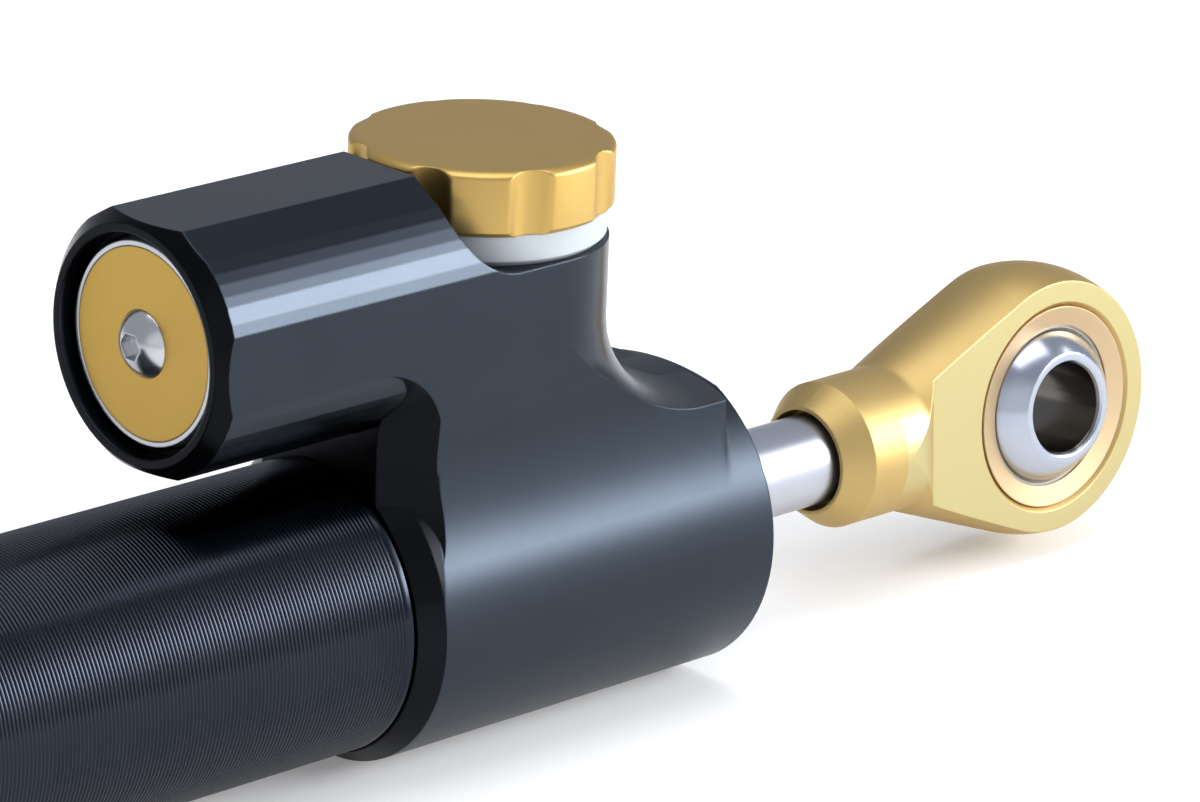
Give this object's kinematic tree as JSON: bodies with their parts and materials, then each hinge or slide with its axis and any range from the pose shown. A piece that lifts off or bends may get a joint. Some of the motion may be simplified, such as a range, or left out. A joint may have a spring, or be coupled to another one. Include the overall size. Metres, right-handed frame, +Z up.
{
  "type": "motorcycle steering damper",
  "caption": "Linear through-rod steering damper with a spherical rod end, a click adjuster on a tower and a parallel valve housing above the barrel.",
  "frame": {"origin": "centre of the rod end's ball", "axes": "+X along the piston rod towards the rod end's tip, +Z up to the adjuster's side, +Y to the side away from the picture's camera"},
  "size_m": [0.2546, 0.0274, 0.0505],
  "materials": {
    "black_anodised": "black anodised, machined",
    "black_tube": "black anodised, finely turned grooves",
    "gold_anodised": "gold anodised, satin",
    "gold_cap": "gold anodised, fine turned face",
    "gold_rod_end": "pale gold anodised, satin",
    "hard_chrome": "hard chromed and ground",
    "race_alloy": "pale bronze coloured, turned",
    "ball_steel": "hardened and polished",
    "white_nylon": "off-white, smooth",
    "bright_steel": "bright steel",
    "seal_rubber": "black nitrile",
    "slip_plastic": "filled slip ring plastic",
    "guide_bronze": "plain bronze",
    "inner_alloy": "bare, honed",
    "tool_steel": "ground steel"
  },
  "bodies": {
    "barrel": {"head_block": "black_anodised", "damper_tube": "black_tube", "tube_gasket": "slip_plastic", "inner_cylinder": "inner_alloy", "front_guide": "guide_bronze", "front_seal": "seal_rubber", "front_wiper": "seal_rubber", "front_clip": "bright_steel", "rear_cap": "black_anodised", "rear_o_ring": "seal_rubber", "rear_guide": "guide_bronze", "rear_seal": "seal_rubber", "rear_wiper": "seal_rubber", "rear_clip": "bright_steel", "knob_washer": "white_nylon", "gland_nut": "guide_bronze", "spindle_o_ring": "seal_rubber", "needle_seat": "guide_bronze", "click_spring": "bright_steel", "valve_cap": "gold_cap", "cap_ring": "bright_steel", "cap_o_ring": "seal_rubber", "cap_screw": "bright_steel", "valve_seat": "guide_bronze", "valve_spring": "bright_steel"},
    "piston_set": {"piston": "inner_alloy", "piston_band": "slip_plastic"},
    "rod_set": {"piston_rod": "hard_chrome", "piston_clips": "bright_steel", "rod_end": "gold_rod_end", "bearing_race": "race_alloy"},
    "liner": {"race_liner": "slip_plastic"},
    "bearing_ball": {"ball": "ball_steel"},
    "knob": {"adjuster_knob": "gold_anodised", "knob_spindle": "tool_steel"},
    "needle": {"needle_valve": "tool_steel"},
    "click": {"click_ball": "tool_steel"},
    "plunger": {"valve_plunger": "inner_alloy"}
  },
  "joints": [
    {"name": "rod_slide", "type": "slide", "parent": "barrel", "child": "piston_set", "axis": [1, 0, 0], "range_m": [-0.012, 0.058]},
    {"name": "rod_spin", "type": "hinge", "parent": "piston_set", "child": "rod_set", "pos_m": [0, 0, 0], "axis": [1, 0, 0], "continuous": true},
    {"name": "liner_swivel", "type": "hinge", "parent": "rod_set", "child": "liner", "pos_m": [0, 0, 0], "axis": [0, -0.9977, 0.068], "continuous": true},
    {"name": "ball_lean", "type": "hinge", "parent": "liner", "child": "bearing_ball", "pos_m": [0, 0, 0], "axis": [0.749, 0.0451, 0.6611], "range_deg": [-9, 16]},
    {"name": "knob_turn", "type": "hinge", "parent": "barrel", "child": "knob", "pos_m": [-0.06702, 0, 0.0314], "axis": [0, 0, 1], "range_deg": [-150, 150]},
    {"name": "needle_lift", "type": "slide", "parent": "barrel", "child": "needle", "axis": [0, 0, 1], "range_m": [-0.00063, 0.00063]},
    {"name": "click_press", "type": "slide", "parent": "barrel", "child": "click", "axis": [0, 0, 1], "range_m": [-0.0003, 0], "stiffness_N_per_m": 300, "springref_m": 0.001, "deforming": ["click_spring"]},
    {"name": "plunger_slide", "type": "slide", "parent": "barrel", "child": "plunger", "axis": [1, 0, 0], "range_m": [-0.002, 0], "stiffness_N_per_m": 1500, "springref_m": 0.002, "deforming": ["valve_spring"]}
  ],
  "couplings": [
    {"joint": "needle_lift", "follows": "knob_turn", "m_per_rad": 0.00023873}
  ]
}
